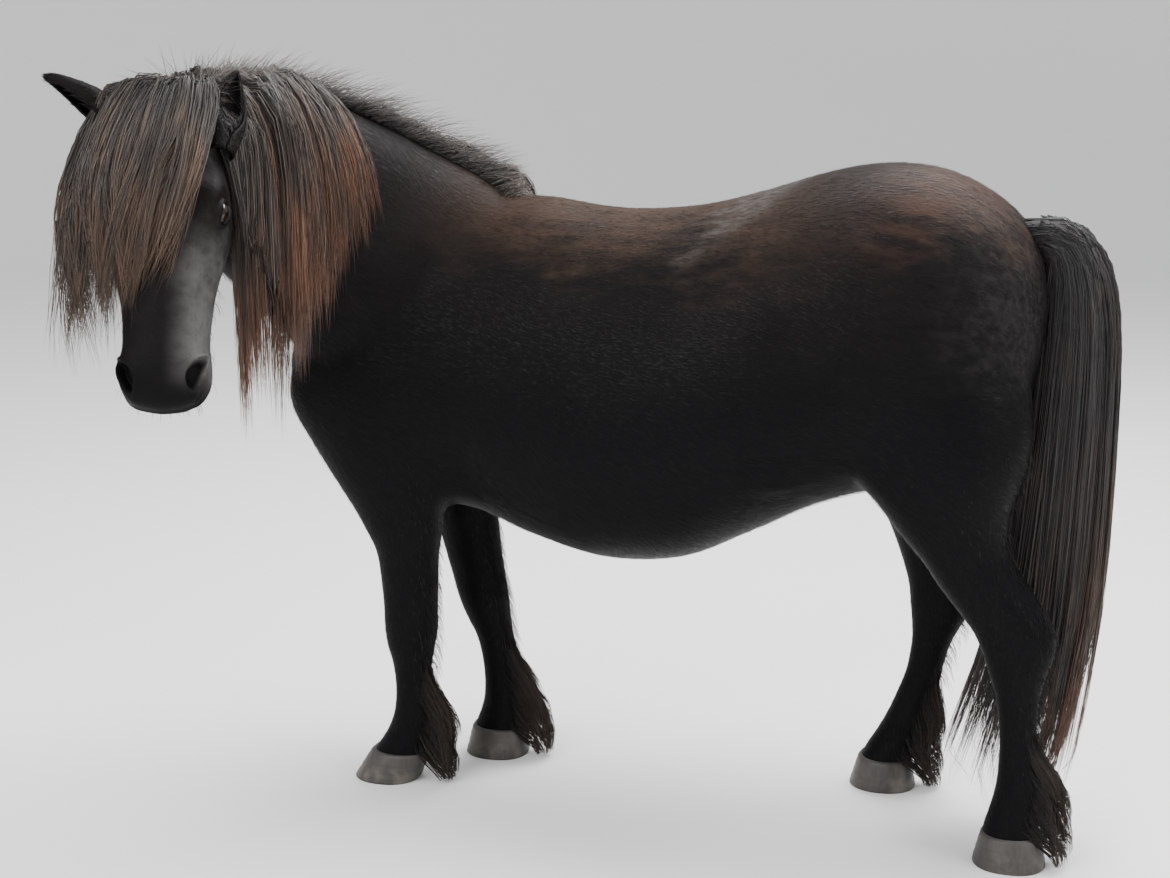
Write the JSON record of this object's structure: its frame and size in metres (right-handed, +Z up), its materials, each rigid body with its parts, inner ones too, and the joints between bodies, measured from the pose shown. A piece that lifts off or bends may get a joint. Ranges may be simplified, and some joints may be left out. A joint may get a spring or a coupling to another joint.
{
  "type": "shetland pony museum model",
  "caption": "Life-size standing Shetland pony with black coat, full mane, forelock and tail, feathered feet and head turned to its left.",
  "frame": {"origin": "on the floor under the middle of the bounding box", "axes": "+X from the head towards the tail, +Y to the pony's right, +Z up"},
  "size_m": [1.4536, 0.8232, 1.1502],
  "materials": {
    "coat": "short glossy black coat, brown on the back and croup where the sun has bleached it",
    "coat_mane": "black coat with long brown-black mane and forelock, rusty at the tips",
    "coat_feather": "black coat with long straight hair behind the cannon and fetlock",
    "tail_hair": "long straight black hair with rusty outer strands",
    "eye": "wet, dark brown",
    "hoof": "dark grey horn, dull"
  },
  "bodies": {
    "root": {"torso": "coat", "neck": "coat_mane", "head": "coat_mane", "foreleg_left": "coat", "foreleg_right": "coat", "hindleg_left": "coat", "hindleg_right": "coat", "lower_fore_left": "coat_feather", "lower_fore_right": "coat_feather", "lower_hind_left": "coat_feather", "lower_hind_right": "coat_feather", "tail": "tail_hair", "ear_left": "coat", "ear_right": "coat", "eye_left": "eye", "eye_right": "eye", "hoof_fore_left": "hoof", "hoof_fore_right": "hoof", "hoof_hind_left": "hoof", "hoof_hind_right": "hoof"}
  },
  "joints": []
}
